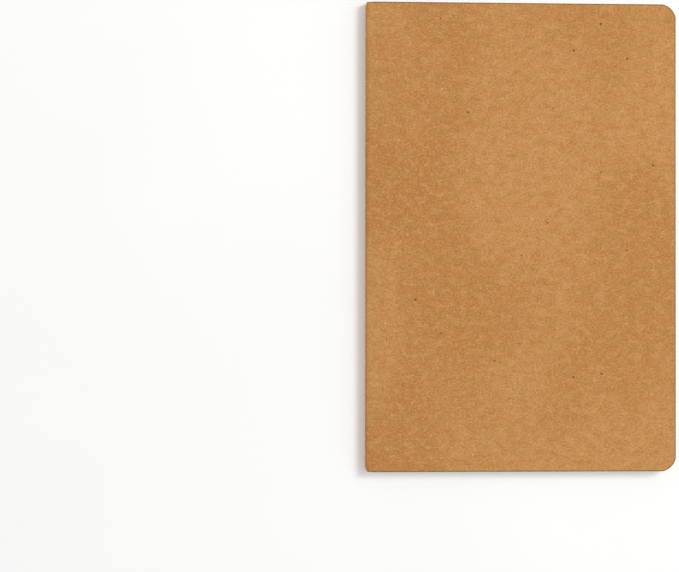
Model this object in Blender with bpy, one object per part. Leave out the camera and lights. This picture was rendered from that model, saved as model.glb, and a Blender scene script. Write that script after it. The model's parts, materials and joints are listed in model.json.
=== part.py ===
"""Thread-sewn pocket notebook, closed, lying on its back cover.

One kraft card is folded round sixteen folded text sheets, and a lockstitch down the fold holds
them together. Every folded piece is made as two flat panels and the bend that joins them.

Frame: +X runs from the spine to the fore-edge, +Y from the tail to the head, +Z up through the
closed notebook. The origin is the middle of the bounding box's base. All lengths are in metres.
"""

import math

import bmesh
import bpy

# Paper and card
HEIGHT = 0.140
SHEETS = 16
PAPER = 0.000095
CARD = 0.0003
AIR = 0.000015
CENTRE_GAP = 0.00036

# Outline
OVERALL_WIDTH = 0.0935
CORNER_RADIUS = 0.0053
CORNER_SEGMENTS = 8

# Fold
PANEL_START = 0.0001
FOLD_SEGMENTS = 14
CREASE_CLEARANCE = 0.00005

# Sewing
STITCH = 0.0046
NEEDLE_THREAD_RADIUS = 0.00015
BOBBIN_THREAD_RADIUS = 0.00012
THREAD_CLEARANCE = 0.00003
STITCH_BULGE = 0.00005
BOBBIN_BULGE = 0.00002
THREAD_END = 0.0006
POINTS_PER_STITCH = 4
THREAD_BEVEL_RESOLUTION = 1

# Worked out from the above: the leaves nest round the axis of the fold, at half the thickness
LAYER = PAPER + AIR
HALF_THICKNESS = CENTRE_GAP / 2 + SHEETS * LAYER + CARD
SPINE_OVERHANG = HALF_THICKNESS + THREAD_CLEARANCE + 2 * NEEDLE_THREAD_RADIUS + STITCH_BULGE
FORE_EDGE = OVERALL_WIDTH - SPINE_OVERHANG
AXIS_X = SPINE_OVERHANG - OVERALL_WIDTH / 2

KRAFT = (0.527, 0.254, 0.080, 1.0)
CREAM = (0.896, 0.888, 0.791, 1.0)
THREAD = (0.831, 0.799, 0.665, 1.0)


def clear_scene():
    """Remove every object, so that the script can be run again in an open file."""
    for item in list(bpy.data.objects):
        bpy.data.objects.remove(item, do_unlink=True)


def make_material(name, color, roughness):
    """A plain Principled material."""
    material = bpy.data.materials.new(name)
    material.use_nodes = True
    shader = material.node_tree.nodes["Principled BSDF"]
    shader.inputs["Base Color"].default_value = color
    shader.inputs["Roughness"].default_value = roughness
    shader.inputs["Metallic"].default_value = 0.0
    return material


def make_axis(name, parent, location):
    """An empty on a hinge axis, which carries what turns about it."""
    empty = bpy.data.objects.new(name, None)
    bpy.context.collection.objects.link(empty)
    empty.empty_display_size = 0.01
    empty.parent = parent
    empty.location = location
    return empty


def make_object(name, mesh, material, parent):
    """Link a mesh as one named object under its axis."""
    item = bpy.data.objects.new(name, mesh)
    bpy.context.collection.objects.link(item)
    item.data.materials.append(material)
    item.parent = parent
    return item


def panel_outline():
    """A flat panel's outline seen from above: square at the fold, rounded at the fore-edge."""
    low = HEIGHT / -2
    high = HEIGHT / 2
    points = [(PANEL_START, high), (PANEL_START, low)]
    for centre_y, first_angle in ((low + CORNER_RADIUS, -90), (high - CORNER_RADIUS, 0)):
        for step in range(CORNER_SEGMENTS + 1):
            angle = math.radians(first_angle + 90 * step / CORNER_SEGMENTS)
            x = FORE_EDGE - CORNER_RADIUS + CORNER_RADIUS * math.cos(angle)
            y = centre_y + CORNER_RADIUS * math.sin(angle)
            points.append((x, y))
    return points


def panel_mesh(name, bottom, thickness):
    """A flat panel whose underside is at the height bottom, measured from the fold's axis."""
    shape = bmesh.new()
    corners = [shape.verts.new((x, y, bottom)) for x, y in panel_outline()]
    base = shape.faces.new(corners)
    extruded = bmesh.ops.extrude_face_region(shape, geom=[base])
    top = [item for item in extruded["geom"] if isinstance(item, bmesh.types.BMVert)]
    bmesh.ops.translate(shape, verts=top, vec=(0, 0, thickness))
    bmesh.ops.recalc_face_normals(shape, faces=shape.faces)
    mesh = bpy.data.meshes.new(name)
    shape.to_mesh(mesh)
    shape.free()
    return mesh


def fold_mesh(name, inner_radius, thickness):
    """A half-round bend about the fold's axis, on its spine side, over the whole height."""
    outer_radius = inner_radius + thickness
    section = []
    for radius, order in ((outer_radius, 1), (inner_radius, -1)):
        arc = []
        for step in range(FOLD_SEGMENTS + 1):
            angle = math.pi / 2 + math.pi * step / FOLD_SEGMENTS
            arc.append((radius * math.cos(angle), radius * math.sin(angle)))
        section += arc[::order]
    shape = bmesh.new()
    corners = [shape.verts.new((x, HEIGHT / -2, z)) for x, z in section]
    tail = shape.faces.new(corners)
    extruded = bmesh.ops.extrude_face_region(shape, geom=[tail])
    head = [item for item in extruded["geom"] if isinstance(item, bmesh.types.BMVert)]
    bmesh.ops.translate(shape, verts=head, vec=(0, HEIGHT, 0))
    bmesh.ops.recalc_face_normals(shape, faces=shape.faces)
    mesh = bpy.data.meshes.new(name)
    shape.to_mesh(mesh)
    shape.free()
    mesh.shade_smooth()
    mesh.set_sharp_from_angle(angle=math.radians(40))
    return mesh


def add_panel(name, bottom, thickness, material, parent, hinge_height=0.0):
    """A flat panel under the axis it turns about, which is hinge_height above the fold's axis."""
    mesh = panel_mesh(name, bottom - hinge_height, thickness)
    return make_object(name, mesh, material, parent)


def add_thread(name, radius, seat, bulge, material, parent):
    """A sewing thread along the fold: each stitch bows away from its seat between two holes."""
    length = HEIGHT - 2 * THREAD_END
    count = round(length / STITCH) * POINTS_PER_STITCH
    curve = bpy.data.curves.new(name, "CURVE")
    curve.dimensions = "3D"
    curve.bevel_depth = radius
    curve.bevel_resolution = THREAD_BEVEL_RESOLUTION
    curve.use_fill_caps = True
    spline = curve.splines.new("POLY")
    spline.points.add(count)
    for index, point in enumerate(spline.points):
        phase = math.pi * (index % POINTS_PER_STITCH) / POINTS_PER_STITCH
        x = -(seat + bulge * math.sin(phase))
        y = length * (index / count - 0.5)
        point.co = (x, y, 0.0, 1.0)
    return make_object(name, curve, material, parent)


def main():
    clear_scene()
    kraft = make_material("kraft_card", KRAFT, 0.8)
    cream = make_material("cream_paper", CREAM, 0.85)
    thread = make_material("sewing_thread", THREAD, 0.7)

    back_axis = make_axis("back_half_axis", None, (AXIS_X, 0.0, HALF_THICKNESS))
    front_axis = make_axis("front_half_axis", back_axis, (0.0, 0.0, 0.0))
    crease_height = HALF_THICKNESS + CREASE_CLEARANCE
    crease_axis = make_axis("front_cover_axis", front_axis, (0.0, 0.0, crease_height))

    cover_inside = HALF_THICKNESS - CARD
    add_panel("back_cover", -HALF_THICKNESS, CARD, kraft, back_axis)
    make_object("cover_spine", fold_mesh("cover_spine", cover_inside, CARD), kraft, back_axis)
    add_panel("front_cover", cover_inside, CARD, kraft, crease_axis, crease_height)

    for number in range(1, SHEETS + 1):
        label = f"sheet_{number:02d}"
        inside = cover_inside - number * LAYER
        sheet_back_axis = make_axis(f"{label}_back_axis", back_axis, (0.0, 0.0, 0.0))
        sheet_front_axis = make_axis(f"{label}_front_axis", sheet_back_axis, (0.0, 0.0, 0.0))
        add_panel(f"{label}_back_leaf", -inside - PAPER, PAPER, cream, sheet_back_axis)
        add_panel(f"{label}_front_leaf", inside, PAPER, cream, sheet_front_axis)
        fold = fold_mesh(f"{label}_fold", inside, PAPER)
        make_object(f"{label}_fold", fold, cream, sheet_back_axis)

    needle_seat = HALF_THICKNESS + THREAD_CLEARANCE + NEEDLE_THREAD_RADIUS
    add_thread("needle_thread", NEEDLE_THREAD_RADIUS, needle_seat, STITCH_BULGE, thread, back_axis)
    bobbin_seat = CENTRE_GAP / 2 - THREAD_CLEARANCE - BOBBIN_THREAD_RADIUS - BOBBIN_BULGE
    add_thread("bobbin_thread", BOBBIN_THREAD_RADIUS, bobbin_seat, BOBBIN_BULGE, thread, back_axis)


main()
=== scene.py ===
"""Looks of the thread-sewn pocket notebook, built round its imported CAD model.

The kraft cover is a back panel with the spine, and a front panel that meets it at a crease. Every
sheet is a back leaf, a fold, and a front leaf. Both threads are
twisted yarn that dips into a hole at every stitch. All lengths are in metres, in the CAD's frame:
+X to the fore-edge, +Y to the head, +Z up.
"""

import json
import math

import bpy
import numpy as np
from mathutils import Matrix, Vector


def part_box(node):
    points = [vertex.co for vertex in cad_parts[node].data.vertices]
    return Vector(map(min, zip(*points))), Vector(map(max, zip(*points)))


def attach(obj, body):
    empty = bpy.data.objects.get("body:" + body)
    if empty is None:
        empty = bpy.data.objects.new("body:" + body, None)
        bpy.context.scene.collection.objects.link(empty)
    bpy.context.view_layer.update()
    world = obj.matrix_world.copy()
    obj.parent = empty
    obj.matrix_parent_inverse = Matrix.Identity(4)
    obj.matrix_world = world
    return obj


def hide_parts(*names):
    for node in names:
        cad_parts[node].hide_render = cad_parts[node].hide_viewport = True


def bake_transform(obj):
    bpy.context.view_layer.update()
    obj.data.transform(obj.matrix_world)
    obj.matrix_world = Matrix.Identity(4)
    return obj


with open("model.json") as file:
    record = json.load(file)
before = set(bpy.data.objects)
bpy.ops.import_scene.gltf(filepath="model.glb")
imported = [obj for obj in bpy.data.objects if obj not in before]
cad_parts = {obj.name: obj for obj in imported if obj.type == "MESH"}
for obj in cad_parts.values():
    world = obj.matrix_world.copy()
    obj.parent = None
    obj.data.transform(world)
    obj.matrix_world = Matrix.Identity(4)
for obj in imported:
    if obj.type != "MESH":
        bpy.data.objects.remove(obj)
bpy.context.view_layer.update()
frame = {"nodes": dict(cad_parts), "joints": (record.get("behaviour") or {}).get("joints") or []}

MM = 0.001

# ---------------------------------------------------------------- sizes read from the frame
OPENING = next(joint for joint in frame["joints"] if joint["name"] == "notebook_opening")
AXIS_X, _, AXIS_Z = OPENING["pos_m"]
COVER_LOW, COVER_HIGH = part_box("front_cover")
LEAF_LOW, LEAF_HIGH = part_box("sheet_01_front_leaf")
THREAD_LOW, THREAD_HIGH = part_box("needle_thread")
LENGTH = COVER_HIGH.x - AXIS_X
HALF_HEIGHT = COVER_HIGH.y
HALF_THICKNESS = COVER_HIGH.z - AXIS_Z
CARD = COVER_HIGH.z - COVER_LOW.z
PAPER = LEAF_HIGH.z - LEAF_LOW.z
SHEETS = sum(name.endswith("_front_leaf") for name in frame["nodes"])

# ---------------------------------------------------------------- sizes that the looks add
CORNER_RADIUS = 5.3 * MM
CORNER_START = 3.8 * MM
CORNER_STEPS = 10
FOLD_SQUARENESS = 5.0
FOLD_STEPS = 40
HEAD_PINCH = 0.11
TAIL_PINCH = 0.24
PINCH_LENGTH = 3.2 * MM
FOLD_RECESS = 0.06 * MM
FOLD_RECESS_REACH = 0.3 * MM

AIR_AT_FOLD = 0.003 * MM
CENTRE_HALF_GAP = 0.04 * MM
GUTTER_WIDTH = 4.0 * MM
GUTTER_POWER = 1.3
COVER_WAVE = 0.15 * MM
WAVE_START = 18 * MM
TRIM_ERROR = 0.03 * MM

STITCH = 4.6 * MM
NEEDLE_RADIUS = 0.15 * MM
BOBBIN_RADIUS = 0.11 * MM
OUTSIDE_HOLE_RADIUS = 0.27 * MM
INSIDE_HOLE_RADIUS = 0.21 * MM
HOLE_PULL = 0.05
HOLE_PULL_REACH = 0.75 * MM
HOLE_PULL_WIDTH = 0.4 * HALF_THICKNESS
PROUD = 0.012 * MM

# The arc of a corner meets both edges at an angle. Its centre lies this far in from each edge.
CORNER_CENTRE = (CORNER_START + math.sqrt(2 * CORNER_RADIUS**2 - CORNER_START**2)) / 2

# Every side of every leaf uses its own stretch of the patterns
LEAF_STEP = 40 * MM
SIDE_STEP = 12 * MM

RANDOM = np.random.default_rng(16)


# ================================================================ mesh tools
def link_mesh(name, points, flat, faces, materials, face_slots=None, sharp_degrees=40):
    """One mesh object, smooth apart from its sharp edges.

    Its points remember where they lie at rest, and where they lie on the sheet unfolded flat, so
    that every pattern stays on the paper when the notebook opens.
    """
    mesh = bpy.data.meshes.new(name)
    mesh.from_pydata(points.tolist(), [], faces)
    mesh.update()
    for material in materials:
        mesh.materials.append(material)
    if face_slots is not None:
        mesh.polygons.foreach_set("material_index", face_slots)
    for label, values in (("rest", points), ("flat", flat)):
        attribute = mesh.attributes.new(label, "FLOAT_VECTOR", "POINT")
        attribute.data.foreach_set("vector", values.astype(np.float32).ravel())
    mesh.shade_smooth()
    mesh.set_sharp_from_angle(angle=math.radians(sharp_degrees))
    item = bpy.data.objects.new(name, mesh)
    bpy.context.scene.collection.objects.link(item)
    return item


def shell(name, outer, inner, along, leaf, face_material, edge_material):
    """A closed sheet from two grids of points, one for each side, with cut edges round its border.

    The grids are columns x rows x 3, with the columns from the back half round to the front one,
    and along is each column's place on the flat sheet.
    """
    columns, rows = outer.shape[:2]
    count = columns * rows
    points = np.concatenate([outer.reshape(-1, 3), inner.reshape(-1, 3)])
    flat = points.copy()
    flat[:, 0] = np.tile(np.repeat(along, rows), 2)
    flat[:, 2] = leaf * LEAF_STEP + np.repeat([0.0, SIDE_STEP], count)
    faces = []
    for i in range(columns - 1):
        for j in range(rows - 1):
            a, b = i * rows + j, (i + 1) * rows + j
            faces.append((a, b, b + 1, a + 1))
            faces.append((count + a, count + a + 1, count + b + 1, count + b))
    sides = len(faces)
    border = [i * rows for i in range(columns)]
    border += [(columns - 1) * rows + j for j in range(1, rows)]
    border += [i * rows + rows - 1 for i in range(columns - 2, -1, -1)]
    border += [j for j in range(rows - 2, 0, -1)]
    for a, b in zip(border, border[1:] + border[:1]):
        faces.append((b, a, count + a, count + b))
    slots = [0] * sides + [1] * (len(faces) - sides)
    return link_mesh(name, points, flat, faces, [face_material, edge_material], slots)


def panel_distances(near_fold, spacing):
    """Distances from the fold's axis to a panel's columns.

    First come those near the fold, then even ones, then those along the corner's arc.
    """
    near = np.array(near_fold) * MM
    last = LENGTH - CORNER_START
    steps = max(1, round((last - near[-1]) / spacing))
    even = near[-1] + (last - near[-1]) * np.arange(1, steps + 1) / steps
    last_angle = math.asin(CORNER_CENTRE / CORNER_RADIUS)
    arc = np.linspace(math.pi / 2 - last_angle, last_angle, CORNER_STEPS + 1)[1:]
    return np.concatenate([near, even, LENGTH - CORNER_CENTRE + CORNER_RADIUS * np.sin(arc)])


def reach_in_y(distance):
    """Half the height of a panel at this distance from the axis. It falls away at the corners."""
    into = np.clip(distance - (LENGTH - CORNER_CENTRE), 0.0, CORNER_CENTRE)
    arc = HALF_HEIGHT - CORNER_CENTRE + np.sqrt(CORNER_RADIUS**2 - into**2)
    return np.minimum(arc, HALF_HEIGHT)


def fold_section(radius):
    """X and Z of a squarish half-round bend about the axis, from the back half to the front one."""
    angle = np.linspace(0, math.pi, FOLD_STEPS + 1)
    sine, cosine = np.sin(angle), np.cos(angle)
    stretch = (np.abs(cosine) ** FOLD_SQUARENESS + sine**FOLD_SQUARENESS) ** (-1 / FOLD_SQUARENESS)
    return -radius * stretch * sine, -radius * stretch * cosine


def half_arc(radius):
    """Half of the length of a fold along its section."""
    x, z = fold_section(radius)
    return np.hypot(np.diff(x), np.diff(z)).sum() / 2


def place(x, z, rows):
    """Grid of points for columns at x and z from the fold's axis.

    Rows are shares of the half height. Z is one number for each column, or a function of the grid's
    X and Y. Folds stop a hair short of the flat panels at head and tail, so that they stay behind
    the panels' cut edges.
    """
    recess = FOLD_RECESS * smoothstep(-x / FOLD_RECESS_REACH)
    y_grid = (reach_in_y(np.maximum(x, 0)) - recess)[:, None] * rows[None, :]
    worn = np.clip((np.abs(y_grid) - (HALF_HEIGHT - PINCH_LENGTH)) / PINCH_LENGTH, 0, 1)
    pinch = np.where(y_grid > 0, HEAD_PINCH, TAIL_PINCH) * worn**2
    x_grid = np.where(x[:, None] < 0, x[:, None] * (1 - pinch), x[:, None])
    z_grid = z(x_grid, y_grid) if callable(z) else np.repeat(z[:, None], len(rows), axis=1)
    return np.stack([x_grid + AXIS_X, y_grid, z_grid + AXIS_Z], axis=-1)


def smoothstep(value):
    """0 below 0, 1 above 1, and smooth between."""
    share = np.clip(value, 0.0, 1.0)
    return share * share * (3 - 2 * share)


def wave(x, y):
    """How far loose card and paper lie below flat, as a share of the deepest place.

    It is 0 near the fold. Further out three slow waves cross.
    """
    u, v = x / (90 * MM), y / (140 * MM)
    swell = np.sin(5.1 * u + 2.3 * v + 3.1) + 0.8 * np.sin(3.3 * v - 4.2 * u + 3.9)
    swell = swell + 0.5 * np.sin(9.0 * v + 2.0 * u)
    return smoothstep(x / WAVE_START) * (0.5 + swell / 4.6)


def stitch_holes():
    """Where the threads go through the fold, along Y."""
    count = round((THREAD_HIGH.y - THREAD_LOW.y) / STITCH)
    return np.linspace(THREAD_LOW.y, THREAD_HIGH.y, count + 1)


def distance_to_hole(y):
    """Distance along Y to the nearest hole."""
    return np.abs(np.asarray(y)[..., None] - stitch_holes()).min(axis=-1)


# ================================================================ material tools
SIDES_APART = 31.0


class Nodes:
    """Short calls that add nodes to one new material."""

    def __init__(self, name, roughness, specular):
        self.material = bpy.data.materials.new(name)
        self.material.use_nodes = True
        self.tree = self.material.node_tree
        self.shader = self.tree.nodes["Principled BSDF"]
        self.shader.inputs["Roughness"].default_value = roughness
        self.shader.inputs["Specular IOR Level"].default_value = specular
        self.flat = self.attribute("flat")

    def attribute(self, name):
        node = self.tree.nodes.new("ShaderNodeAttribute")
        node.attribute_name = name
        return node.outputs["Vector"]

    def parts(self, vector):
        """X, Y and Z of a vector."""
        node = self.tree.nodes.new("ShaderNodeSeparateXYZ")
        self.put(node.inputs[0], vector)
        return tuple(node.outputs)

    def put(self, socket, value):
        """A link where value is a socket, else a plain value."""
        if isinstance(value, bpy.types.NodeSocket):
            self.tree.links.new(value, socket)
        else:
            socket.default_value = value

    def math(self, operation, first, second=0.0, third=0.0):
        node = self.tree.nodes.new("ShaderNodeMath")
        node.operation = operation
        for socket, value in zip(node.inputs, (first, second, third)):
            self.put(socket, value)
        return node.outputs[0]

    def scaled(self, size_mm, turn_degrees=0.0, offset=(0.0, 0.0, 0.0), base=None):
        """The place on the flat sheet, turned about Z, with this size in millimetres as the unit."""
        turn = self.tree.nodes.new("ShaderNodeVectorRotate")
        turn.rotation_type = "Z_AXIS"
        self.put(turn.inputs["Vector"], base or self.flat)
        turn.inputs["Angle"].default_value = math.radians(turn_degrees)
        node = self.tree.nodes.new("ShaderNodeVectorMath")
        node.operation = "MULTIPLY_ADD"
        self.put(node.inputs[0], turn.outputs[0])
        node.inputs[1].default_value = tuple(1 / (size * MM) for size in size_mm)
        node.inputs[2].default_value = offset
        return node.outputs[0]

    def noise(self, vector, detail=2.0, roughness=0.5, distortion=0.0):
        node = self.tree.nodes.new("ShaderNodeTexNoise")
        node.inputs["Scale"].default_value = 1.0
        node.inputs["Detail"].default_value = detail
        node.inputs["Roughness"].default_value = roughness
        node.inputs["Distortion"].default_value = distortion
        self.put(node.inputs["Vector"], vector)
        return node.outputs[0]

    def ramp(self, value, low, high, to_low=0.0, to_high=1.0):
        """value from low..high to to_low..to_high, clamped and smooth."""
        node = self.tree.nodes.new("ShaderNodeMapRange")
        node.interpolation_type = "SMOOTHSTEP"
        node.inputs["From Min"].default_value = low
        node.inputs["From Max"].default_value = high
        node.inputs["To Min"].default_value = to_low
        node.inputs["To Max"].default_value = to_high
        self.put(node.inputs["Value"], value)
        return node.outputs[0]

    def mix(self, factor, first, second):
        """Two colours mixed; each is a colour or a socket."""
        node = self.tree.nodes.new("ShaderNodeMix")
        node.data_type = "RGBA"
        self.put(node.inputs["Factor"], factor)
        self.put(node.inputs[6], first)
        self.put(node.inputs[7], second)
        return node.outputs[2]

    def pushed(self, size_mm, depth_mm):
        """The place on the flat sheet, pushed about softly so that straight patterns bend."""
        soft = self.tree.nodes.new("ShaderNodeTexNoise")
        soft.inputs["Scale"].default_value = 1.0
        soft.inputs["Detail"].default_value = 1.0
        self.put(soft.inputs["Vector"], self.scaled((size_mm, size_mm, size_mm), 0.0, (2.0, 6.0, 4.0)))
        node = self.tree.nodes.new("ShaderNodeVectorMath")
        node.operation = "MULTIPLY_ADD"
        self.put(node.inputs[0], soft.outputs["Color"])
        node.inputs[1].default_value = (depth_mm * MM, depth_mm * MM, 0.0)
        self.put(node.inputs[2], self.flat)
        return node.outputs[0]

    def fibres(self, turns, length_mm, width_mm, low, high):
        """Short bent strands in a few directions, 0 to 1."""
        base = self.pushed(1.1, 0.9)
        total = None
        for number, turn in enumerate(turns):
            offset = (3.1 * number, 7.7, 1.3 * number)
            where = self.scaled((length_mm, width_mm, 2.0), turn, offset, base)
            strand = self.ramp(self.noise(where, 0.0), low, high)
            total = strand if total is None else self.math("MAXIMUM", total, strand)
        return total

    def flecks(self, cell_mm, share, radius_mm, offset):
        """Sparse ragged specks, one in each of a share of the cells.

        The cells are flat, so the sides of the sheets are laid beside each other.
        """
        ragged = self.noise(self.scaled((0.25, 0.25, 2.0), 0.0, offset), 1.0)
        x, y, z = self.parts(self.scaled((cell_mm, cell_mm, cell_mm), 0.0, offset))
        beside = self.tree.nodes.new("ShaderNodeCombineXYZ")
        self.put(beside.inputs[0], self.math("MULTIPLY_ADD", z, SIDES_APART, x))
        self.put(beside.inputs[1], y)
        node = self.tree.nodes.new("ShaderNodeTexVoronoi")
        node.voronoi_dimensions = "2D"
        node.inputs["Scale"].default_value = 1.0
        self.put(node.inputs["Vector"], beside.outputs[0])
        dice = self.tree.nodes.new("ShaderNodeSeparateColor")
        self.put(dice.inputs[0], node.outputs["Color"])
        largest = radius_mm / cell_mm
        size = self.ramp(dice.outputs[1], 0.0, 1.0, 0.5 * largest, largest)
        size = self.math("MULTIPLY", size, self.ramp(ragged, 0.3, 0.7, 0.6, 1.3))
        chosen = self.math("LESS_THAN", dice.outputs[0], share)
        inside = self.math("SUBTRACT", 1.0, self.math("DIVIDE", node.outputs["Distance"], size))
        return self.math("MULTIPLY", chosen, self.ramp(inside, 0.0, 0.5))

    def edge_distance(self):
        """Distance in from the trimmed outline: head, tail, fore-edge and the round corners."""
        x, y, _ = self.parts(self.attribute("rest"))
        across = self.math("SUBTRACT", x, AXIS_X + LENGTH - CORNER_CENTRE)
        along = self.math("SUBTRACT", self.math("ABSOLUTE", y), HALF_HEIGHT - CORNER_CENTRE)
        across_square = self.math("POWER", self.math("MAXIMUM", across, 0.0), 2.0)
        along_square = self.math("POWER", self.math("MAXIMUM", along, 0.0), 2.0)
        outside = self.math("SQRT", self.math("ADD", across_square, along_square))
        from_edges = self.math("SUBTRACT", CORNER_CENTRE, self.math("MAXIMUM", across, along))
        return self.math("MINIMUM", self.math("SUBTRACT", CORNER_RADIUS, outside), from_edges)

    def bump(self, height, depth_mm, strength, below=None):
        node = self.tree.nodes.new("ShaderNodeBump")
        node.inputs["Strength"].default_value = strength
        node.inputs["Distance"].default_value = depth_mm * MM
        self.put(node.inputs["Height"], height)
        if below is not None:
            self.put(node.inputs["Normal"], below)
        return node.outputs[0]

    def finish(self, color, normal=None, roughness=None):
        self.put(self.shader.inputs["Base Color"], color)
        if normal is not None:
            self.put(self.shader.inputs["Normal"], normal)
        if roughness is not None:
            self.put(self.shader.inputs["Roughness"], roughness)
        return self.material


def shade(red, green, blue):
    """A colour given as 0 to 255 screen values, as Blender's linear one."""
    def linear(value):
        share = value / 255
        return share / 12.92 if share <= 0.04045 else ((share + 0.055) / 1.055) ** 2.4
    return (linear(red), linear(green), linear(blue), 1.0)


# ================================================================ materials
# How far out from the spine the painted shade on the card fades to its lighter colour.
SHADE_GRADIENT_LENGTH = 55 * MM


def kraft_material():
    """Unbleached kraft card: cloudy brown with a fine grain, short fibres and a few bark flecks, with
    painted shade toward the spine and along the cut outline.
    """
    nodes = Nodes("kraft_card", 0.8, 0.25)
    cloud = nodes.noise(nodes.scaled((34, 50, 46), 0.0, (7.0, 3.0, 0.0)), 3.0, 0.5)
    patch = nodes.noise(nodes.scaled((3.0, 2.2, 3.0), 4.0, (9.0, 2.0, 5.0)), 3.0, 0.62)
    tint = nodes.noise(nodes.scaled((5.0, 4.0, 5.0), 0.0, (40.0, 11.0, 3.0)), 2.0)
    grain = nodes.noise(nodes.scaled((0.66, 0.5, 0.66)), 2.0, 0.62)
    dust = nodes.noise(nodes.scaled((0.13, 0.11, 0.13), 0.0, (5.0, 5.0, 5.0)), 1.0)
    dark = nodes.fibres((12, 49, 88, 133), 0.9, 0.075, 0.62, 0.8)
    light = nodes.fibres((30, 68, 112, 164), 1.0, 0.07, 0.63, 0.8)

    x, _, _ = nodes.parts(nodes.attribute("rest"))
    # Painted shade: the card is darker near the spine and lighter toward the fore-edge, the side the
    # light falls from.
    painted_shade_gradient = nodes.ramp(x, AXIS_X, AXIS_X + SHADE_GRADIENT_LENGTH)
    color = nodes.mix(painted_shade_gradient, shade(176, 117, 58), shade(179, 124, 64))
    color = nodes.mix(nodes.ramp(cloud, 0.38, 0.62, 0.0, 0.6), color, shade(199, 146, 89))
    color = nodes.mix(nodes.ramp(patch, 0.5, 0.66, 0.0, 0.6), color, shade(203, 149, 92))
    color = nodes.mix(nodes.ramp(patch, 0.5, 0.34, 0.0, 0.6), color, shade(172, 114, 55))
    color = nodes.mix(nodes.ramp(tint, 0.5, 0.64, 0.0, 0.4), color, shade(186, 135, 78))
    color = nodes.mix(nodes.ramp(tint, 0.5, 0.36, 0.0, 0.4), color, shade(190, 127, 66))
    color = nodes.mix(nodes.ramp(grain, 0.5, 0.68, 0.0, 0.5), color, shade(160, 104, 47))
    color = nodes.mix(nodes.ramp(grain, 0.5, 0.32, 0.0, 0.46), color, shade(220, 166, 105))
    color = nodes.mix(nodes.ramp(dust, 0.35, 0.75, 0.0, 0.12), color, shade(160, 106, 49))
    color = nodes.mix(nodes.math("MULTIPLY", dark, 0.26), color, shade(142, 90, 37))
    color = nodes.mix(nodes.math("MULTIPLY", light, 0.3), color, shade(226, 176, 117))
    bark = nodes.flecks(8.0, 0.09, 0.46, (0.0, 0.0, 0.0))
    pale = nodes.flecks(9.0, 0.06, 0.36, (5.3, 2.1, 0.0))
    color = nodes.mix(nodes.math("MULTIPLY", bark, 0.9), color, shade(96, 58, 22))
    color = nodes.mix(nodes.math("MULTIPLY", pale, 0.55), color, shade(232, 194, 141))

    # Painted shade: a ragged dark band along the cut outline stands in for the shaded cut edge of the
    # card.
    ragged = nodes.noise(nodes.scaled((1.2, 1.2, 1.2), 0.0, (1.0, 8.0, 2.0)), 2.0)
    painted_edge_shade = nodes.ramp(nodes.edge_distance(), 0.42 * MM, 0.10 * MM)
    painted_edge_shade = nodes.math("MULTIPLY", painted_edge_shade, nodes.ramp(ragged, 0.2, 0.7, 0.6, 1.0))
    color = nodes.mix(painted_edge_shade, color, shade(104, 76, 46))

    relief = nodes.math("MULTIPLY_ADD", grain, 0.6, nodes.math("MULTIPLY", light, 0.3))
    relief = nodes.math("MULTIPLY_ADD", dark, -0.25, relief)
    normal = nodes.bump(patch, 0.06, 0.3, nodes.bump(relief, 0.03, 0.45))
    return nodes.finish(color, normal, nodes.ramp(grain, 0.2, 0.8, 0.7, 0.88))


def kraft_edge_material():
    """The guillotined edge of the card: darker, with its plies along the cut."""
    nodes = Nodes("kraft_cut_edge", 0.9, 0.2)
    plies = nodes.noise(nodes.scaled((1.5, 1.5, 2.2)), 2.0)
    crumbs = nodes.noise(nodes.scaled((0.2, 0.2, 6.0)), 2.0)
    color = nodes.mix(nodes.ramp(plies, 0.3, 0.7), shade(124, 84, 48), shade(172, 122, 74))
    color = nodes.mix(nodes.ramp(crumbs, 0.45, 0.75, 0.0, 0.5), color, shade(206, 156, 104))
    return nodes.finish(color, nodes.bump(crumbs, 0.03, 0.5))


def paper_material():
    """Cream book paper: almost even, faintly cloudy, with a fine tooth and short fibres."""
    nodes = Nodes("cream_paper", 0.82, 0.2)
    cloud = nodes.noise(nodes.scaled((22, 16, 22)), 3.0, 0.6)
    flock = nodes.noise(nodes.scaled((1.7, 1.2, 1.7)), 3.0, 0.6)
    tooth = nodes.noise(nodes.scaled((0.2, 0.16, 0.2)), 2.0, 0.6)
    strands = nodes.fibres((14, 74, 139), 1.2, 0.08, 0.62, 0.8)
    color = nodes.mix(nodes.ramp(cloud, 0.3, 0.7), shade(239, 238, 224), shade(241, 241, 228))
    color = nodes.mix(nodes.ramp(flock, 0.35, 0.75, 0.0, 0.4), color, shade(236, 234, 218))
    color = nodes.mix(nodes.ramp(tooth, 0.4, 0.75, 0.0, 0.3), color, shade(232, 229, 212))
    color = nodes.mix(nodes.math("MULTIPLY", strands, 0.3), color, shade(251, 250, 241))
    handled = nodes.ramp(nodes.edge_distance(), 1.6 * MM, 0.0)
    handled = nodes.math("MULTIPLY", handled, nodes.ramp(cloud, 0.3, 0.7, 0.2, 0.55))
    color = nodes.mix(handled, color, shade(226, 221, 200))
    relief = nodes.math("MULTIPLY_ADD", tooth, 0.7, nodes.math("MULTIPLY", strands, 0.3))
    normal = nodes.bump(flock, 0.02, 0.3, nodes.bump(relief, 0.012, 0.45))
    return nodes.finish(color, normal, nodes.ramp(tooth, 0.2, 0.8, 0.76, 0.9))


def paper_edge_material():
    """The trimmed edges of the leaves, each a little lighter or darker than its neighbours as painted
    light and shade for the lines along the stack, with fine streaks.
    """
    nodes = Nodes("paper_cut_edge", 0.9, 0.2)
    leaf = nodes.noise(nodes.scaled((70, 70, 30)), 1.0)
    streak = nodes.noise(nodes.scaled((3.0, 3.0, 9.0)), 2.0)
    # Painted light and shade: each leaf's edge gets its own tone, for the lines that light draws along
    # the stacked edges.
    color = nodes.mix(nodes.ramp(leaf, 0.35, 0.65), shade(216, 208, 184), shade(243, 240, 224))
    color = nodes.mix(nodes.ramp(streak, 0.5, 0.8, 0.0, 0.5), color, shade(228, 220, 198))
    return nodes.finish(color, nodes.bump(streak, 0.02, 0.3))


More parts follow.
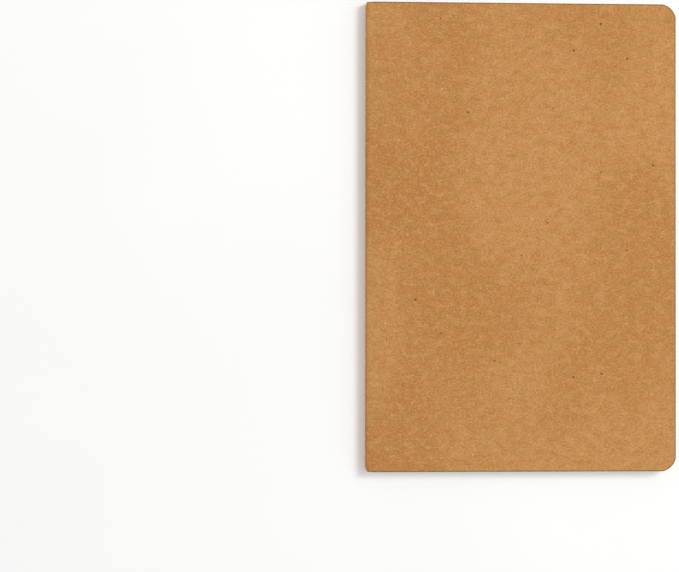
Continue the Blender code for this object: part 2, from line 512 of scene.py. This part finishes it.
def thread_material():
    """Matt sewing cotton with its fibres lying along the plies."""
    nodes = Nodes("sewing_cotton", 0.75, 0.25)
    nodes.shader.inputs["Sheen Weight"].default_value = 0.2
    nodes.shader.inputs["Sheen Roughness"].default_value = 0.5
    hairs = nodes.noise(nodes.scaled((0.05, 0.35, 0.05), 24.0), 2.0)
    length = nodes.noise(nodes.scaled((9.0, 9.0, 9.0)), 1.0)
    color = nodes.mix(nodes.ramp(hairs, 0.3, 0.7), shade(216, 205, 178), shade(248, 242, 224))
    color = nodes.mix(nodes.ramp(length, 0.35, 0.7, 0.0, 0.25), color, shade(226, 208, 172))
    return nodes.finish(color, nodes.bump(hairs, 0.02, 0.5))


def hole_shade_material(name, dark, light):
    """A needle hole: torn fibres, in dark colours that paint the shade inside the hole."""
    nodes = Nodes(name, 0.95, 0.1)
    torn = nodes.noise(nodes.scaled((0.12, 0.12, 0.12)), 2.0)
    color = nodes.mix(nodes.ramp(torn, 0.35, 0.7), dark, light)
    return nodes.finish(color, nodes.bump(torn, 0.03, 0.6))


def table_material():
    """The pale matt table that the notebook lies on."""
    nodes = Nodes("pale_table", 0.85, 0.15)
    soft = nodes.noise(nodes.scaled((90, 90, 90)), 2.0)
    color = nodes.mix(nodes.ramp(soft, 0.3, 0.7), shade(248, 248, 247), shade(250, 250, 249))
    return nodes.finish(color)


# ================================================================ the cover
COVER_COLUMNS = (0.0, 0.2, 0.4, 0.6, 0.8, 1.2, 2.0, 4.0)
COVER_SPACING = 4 * MM
SPINE_ROWS = 331
FRONT_ROWS = 71


def hole_pull(y, z):
    """How far the stitches draw the spine in round each needle hole, as a share of its radius."""
    along = np.exp(-((distance_to_hole(y) / HOLE_PULL_REACH) ** 2))
    across = np.exp(-(((z - AXIS_Z) / HOLE_PULL_WIDTH) ** 2))
    return HOLE_PULL * along * across


def pull_at_holes(grid):
    """Draw the outside of the card in at each needle hole."""
    x = grid[..., 0] - AXIS_X
    pulled = grid.copy()
    pulled[..., 0] = AXIS_X + x * np.where(x < 0, 1 - hole_pull(grid[..., 1], grid[..., 2]), 1.0)
    return pulled


def make_back_cover(card, edge):
    """Back panel and spine of the card, in one piece that bends round the leaves."""
    distances = panel_distances(COVER_COLUMNS, COVER_SPACING)
    rows = np.linspace(-1, 1, SPINE_ROWS)
    grids = []
    for radius in (HALF_THICKNESS, HALF_THICKNESS - CARD):
        fold_x, fold_z = fold_section(radius)
        x = np.concatenate([distances[:0:-1], fold_x])
        z = np.concatenate([np.full(len(distances) - 1, -radius), fold_z])
        grids.append(place(x, z, rows))
    turned = half_arc(HALF_THICKNESS)
    around = np.linspace(-turned, turned, FOLD_STEPS + 1)
    along = np.concatenate([-turned - distances[:0:-1], around])
    piece = shell("kraft_back_and_spine", pull_at_holes(grids[0]), grids[1], along, 0, card, edge)
    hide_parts("back_cover", "cover_spine")
    bend_with_fold(piece)


def make_front_cover(card, edge):
    """Front panel of the card, which meets the spine at its crease."""
    distances = panel_distances(COVER_COLUMNS, COVER_SPACING)
    rows = np.linspace(-1, 1, FRONT_ROWS)

    def face(radius):
        return place(distances, lambda x, y: radius - COVER_WAVE * wave(x, y), rows)

    along = distances + half_arc(HALF_THICKNESS)
    outer, inner = face(HALF_THICKNESS), face(HALF_THICKNESS - CARD)
    piece = shell("kraft_front", outer, inner, along, 0, card, edge)
    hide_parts("front_cover")
    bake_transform(piece)


# ================================================================ the sheets
LEAF_COLUMNS = (0.0, 0.25, 0.5, 0.8, 1.2, 1.7, 2.3, 3.0, 4.0, 5.5, 7.5, 10.0, 14.0)
LEAF_SPACING = 9 * MM
LEAF_ROWS = 25


def leaf_heights():
    """Outer faces of one half's leaves, as heights from the middle: at the fold, and away from it.

    Near the fold the leaves are pressed against the cover. Further out they take up the slack, in
    uneven steps, until the two halves almost meet.
    """
    numbers = np.arange(SHEETS)
    inside = HALF_THICKNESS - CARD
    at_fold = inside - AIR_AT_FOLD - numbers * (PAPER + AIR_AT_FOLD)
    slack = inside - SHEETS * PAPER - CENTRE_HALF_GAP
    steps = RANDOM.random(SHEETS) ** 3 + 0.08
    away = inside - numbers * PAPER - slack * np.cumsum(steps) / steps.sum()
    return at_fold, away


def make_leaf(label, side, number, at_fold, away, paper, edge):
    """One leaf, in the back half where side is -1, else in the front half."""
    distances = panel_distances(LEAF_COLUMNS, LEAF_SPACING)
    rows = np.linspace(-1, 1, LEAF_ROWS)
    trim_x, trim_y = RANDOM.uniform(-TRIM_ERROR, TRIM_ERROR, 2)

    def face(below):
        def height(x, y):
            rise = 1 - np.exp(-((x / GUTTER_WIDTH) ** GUTTER_POWER))
            level = at_fold + (away - at_fold) * rise - below
            if side > 0:
                level = level - COVER_WAVE * wave(x, y) * level / HALF_THICKNESS
            return side * level
        grid = place(distances, height, rows)
        grid[..., 0] += trim_x * (grid[..., 0] - AXIS_X) / LENGTH
        grid[..., 1] *= 1 + trim_y / HALF_HEIGHT
        return grid[::side]

    along = side * (distances + half_arc(at_fold))
    piece = shell(f"{label}_paper", face(0.0), face(PAPER), along[::side], number, paper, edge)
    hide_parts(label)
    return piece


def make_fold(number, radius, paper, edge):
    """The bend of one sheet."""
    rows = np.linspace(-1, 1, LEAF_ROWS)
    outer, inner = (place(*fold_section(size), rows) for size in (radius, radius - PAPER))
    along = np.linspace(-half_arc(radius), half_arc(radius), FOLD_STEPS + 1)
    piece = shell(f"sheet_{number:02d}_fold_paper", outer, inner, along, number, paper, edge)
    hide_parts(f"sheet_{number:02d}_fold")
    bend_with_fold(piece)


def make_sheets(paper, edge):
    """All sheets, from the outermost to the middle one. Returns the middle fold's inner radius."""
    at_fold, back_away = leaf_heights()
    _, front_away = leaf_heights()
    for index, height in enumerate(at_fold):
        number = index + 1
        label = f"sheet_{number:02d}"
        back = "back_half" if number == 1 else f"{label}_back"
        front = f"{label}_front"
        halves = ((back, "back", -1, back_away), (front, "front", 1, front_away))
        for body, half, side, away in halves:
            name = f"{label}_{half}_leaf"
            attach(make_leaf(name, side, number, height, away[index], paper, edge), body)
        make_fold(number, height, paper, edge)
    return at_fold[-1] - PAPER


# ================================================================ the sewing
PLIES = 3
PLY_DEPTH = 0.2
PLY_TURN = 1.1 * MM
MEAN_LOBE = 0.7
RING_STEP = 0.11 * MM
RING_POINTS = 15
NEEDLE_SEAT = HALF_THICKNESS + 0.10 * MM
NEEDLE_DIP = -0.30 * MM
BOBBIN_DIP = 0.15 * MM
DIP_LENGTH_IN_RADII = 1.6
SQUEEZE_AT_HOLE = 0.12
HOLE_SIDES = 12
HOLE_RINGS = 3
HOLE_RAGGEDNESS = 0.12
HOLE_FLATTENING = 0.75


def bend_with_fold(piece):
    """Bake the piece's transform into its mesh."""
    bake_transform(piece)


def make_thread(name, node, radius, seat, dip, material):
    """A plied thread along the fold, seat away from the axis, which dips at each hole."""
    rings = round((THREAD_HIGH.y - THREAD_LOW.y) / RING_STEP)
    y = np.linspace(THREAD_LOW.y, THREAD_HIGH.y, rings + 1)
    distance = distance_to_hole(y)
    centre = -(seat + dip * np.exp(-((distance / (DIP_LENGTH_IN_RADII * radius)) ** 2)))
    around = np.linspace(0, 2 * math.pi, RING_POINTS, endpoint=False)
    twist = 2 * math.pi * y / PLY_TURN
    lobes = np.abs(np.cos(PLIES / 2 * (around[None, :] - twist[:, None])))
    lobes = 1 + PLY_DEPTH * (lobes - MEAN_LOBE)
    squeeze = 1 - SQUEEZE_AT_HOLE * np.exp(-((distance / radius) ** 2))
    ring_radius = radius * lobes * squeeze[:, None]
    x = AXIS_X + centre[:, None] + ring_radius * np.cos(around)
    z = AXIS_Z + ring_radius * np.sin(around)
    points = np.stack([x, np.repeat(y[:, None], RING_POINTS, axis=1), z], axis=-1).reshape(-1, 3)
    faces = []
    for i in range(rings):
        for j in range(RING_POINTS):
            a, b = i * RING_POINTS + j, i * RING_POINTS + (j + 1) % RING_POINTS
            faces.append((a, a + RING_POINTS, b + RING_POINTS, b))
    faces.append(tuple(range(RING_POINTS)))
    faces.append(tuple(range(rings * RING_POINTS + RING_POINTS - 1, rings * RING_POINTS - 1, -1)))
    piece = link_mesh(name, points, points, faces, [material], sharp_degrees=60)
    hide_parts(node)
    bend_with_fold(piece)


def make_holes(name, surface, facing, size, material):
    """A thin ragged patch round the thread at each hole, which carries the hole's painted shade, on a
    surface that faces along X.

    surface gives the place of the surface along X from Y and Z.
    """
    points, faces = [], []
    angle = np.linspace(0, 2 * math.pi, HOLE_SIDES, endpoint=False)
    for hole in stitch_holes()[1:-1]:
        first = len(points)
        rings = [(0.0, hole, AXIS_Z)]
        for ring in range(1, HOLE_RINGS + 1):
            ragged = 1 + HOLE_RAGGEDNESS * np.sin(3 * angle + 900 * hole)
            radius = size * ring / HOLE_RINGS * ragged
            y = hole + radius * np.cos(angle)
            z = AXIS_Z + HOLE_FLATTENING * radius * np.sin(angle)
            rings += list(zip([ring / HOLE_RINGS] * HOLE_SIDES, y, z))
        for share, y, z in rings:
            points.append((surface(y, z) + facing * PROUD * (0.6 + 0.4 * share), y, z))
        for step in range(HOLE_SIDES):
            after = (step + 1) % HOLE_SIDES
            faces.append((first, first + 1 + step, first + 1 + after)[::facing])
            for ring in range(HOLE_RINGS - 1):
                a = first + 1 + ring * HOLE_SIDES
                corners = (a + step, a + HOLE_SIDES + step, a + HOLE_SIDES + after, a + after)
                faces.append(corners[::facing])
    points = np.array(points)
    return link_mesh(name, points, points, faces, [material], sharp_degrees=80)


def make_sewing(gutter_radius):
    """Both threads of the lockstitch, outside the spine and down the gutter, and their holes."""
    cotton = thread_material()
    needle = "needle_thread"
    make_thread(f"{needle}_cotton", needle, NEEDLE_RADIUS, NEEDLE_SEAT, NEEDLE_DIP, cotton)
    bobbin = "bobbin_thread"
    seat = gutter_radius - BOBBIN_RADIUS - PROUD
    make_thread(f"{bobbin}_cotton", bobbin, BOBBIN_RADIUS, seat, BOBBIN_DIP, cotton)

    def spine(y, z):
        return AXIS_X - HALF_THICKNESS * (1 - hole_pull(y, z))

    # Painted shade: dark brown for the shade inside the holes through the card.
    card_hole_shade = hole_shade_material("kraft_hole", shade(58, 38, 22), shade(104, 70, 40))
    holes = make_holes("needle_holes_outside", spine, -1, OUTSIDE_HOLE_RADIUS, card_hole_shade)
    bend_with_fold(holes)

    def gutter(y, z):
        return AXIS_X - gutter_radius

    # Painted shade: grey for the shade inside the holes through the paper.
    leaf_hole_shade = hole_shade_material("paper_hole", shade(122, 116, 100), shade(180, 173, 154))
    holes = make_holes("needle_holes_inside", gutter, 1, INSIDE_HOLE_RADIUS, leaf_hole_shade)
    bend_with_fold(holes)


# ================================================================ table, light and camera
CAMERA_PLACE = (-0.0867, -0.0209, 0.600)
CAMERA_TURN = (0.589, -3.123, 0.082)
CAMERA_LENS = 106.44
TABLE_SIZE = 4.0
WORLD_STRENGTH = 0.70

# Each light: place, size, power
KEY = ((0.62, 0.34, 0.95), 0.42, 6.0)
FILL = ((-0.9, -0.5, 1.1), 1.2, 1.2)


def make_table():
    signs = np.array([(-1.0, -1.0, 0.0), (1.0, -1.0, 0.0), (1.0, 1.0, 0.0), (-1.0, 1.0, 0.0)])
    corners = signs * TABLE_SIZE / 2
    table = link_mesh("table_top", corners, corners, [(0, 1, 2, 3)], [table_material()])


def make_light(name, where, size, power):
    """A square soft light that faces the notebook."""
    data = bpy.data.lights.new(name, "AREA")
    data.shape = "SQUARE"
    data.size = size
    data.energy = power
    light = bpy.data.objects.new(name, data)
    light.location = where
    light.rotation_euler = (-light.location).to_track_quat("-Z", "Y").to_euler()
    bpy.context.scene.collection.objects.link(light)


def make_world():
    world = bpy.data.worlds.new("studio")
    world.use_nodes = True
    background = world.node_tree.nodes["Background"]
    background.inputs["Color"].default_value = (1.0, 1.0, 1.0, 1.0)
    background.inputs["Strength"].default_value = WORLD_STRENGTH
    bpy.context.scene.world = world


def make_camera():
    data = bpy.data.cameras.new("camera")
    data.sensor_width = 36.0
    data.lens = CAMERA_LENS
    data.clip_start = 0.01
    data.clip_end = 20.0
    camera = bpy.data.objects.new("camera", data)
    camera.location = CAMERA_PLACE
    camera.rotation_euler = tuple(math.radians(angle) for angle in CAMERA_TURN)
    bpy.context.scene.collection.objects.link(camera)
    bpy.context.scene.camera = camera


# ================================================================ build
make_camera()
make_table()
make_world()
make_light("key", *KEY)
make_light("fill", *FILL)
bpy.context.scene.view_settings.view_transform = "Standard"

kraft_face = kraft_material()
kraft_edge = kraft_edge_material()
make_back_cover(kraft_face, kraft_edge)
make_front_cover(kraft_face, kraft_edge)
middle_radius = make_sheets(paper_material(), paper_edge_material())
make_sewing(middle_radius)
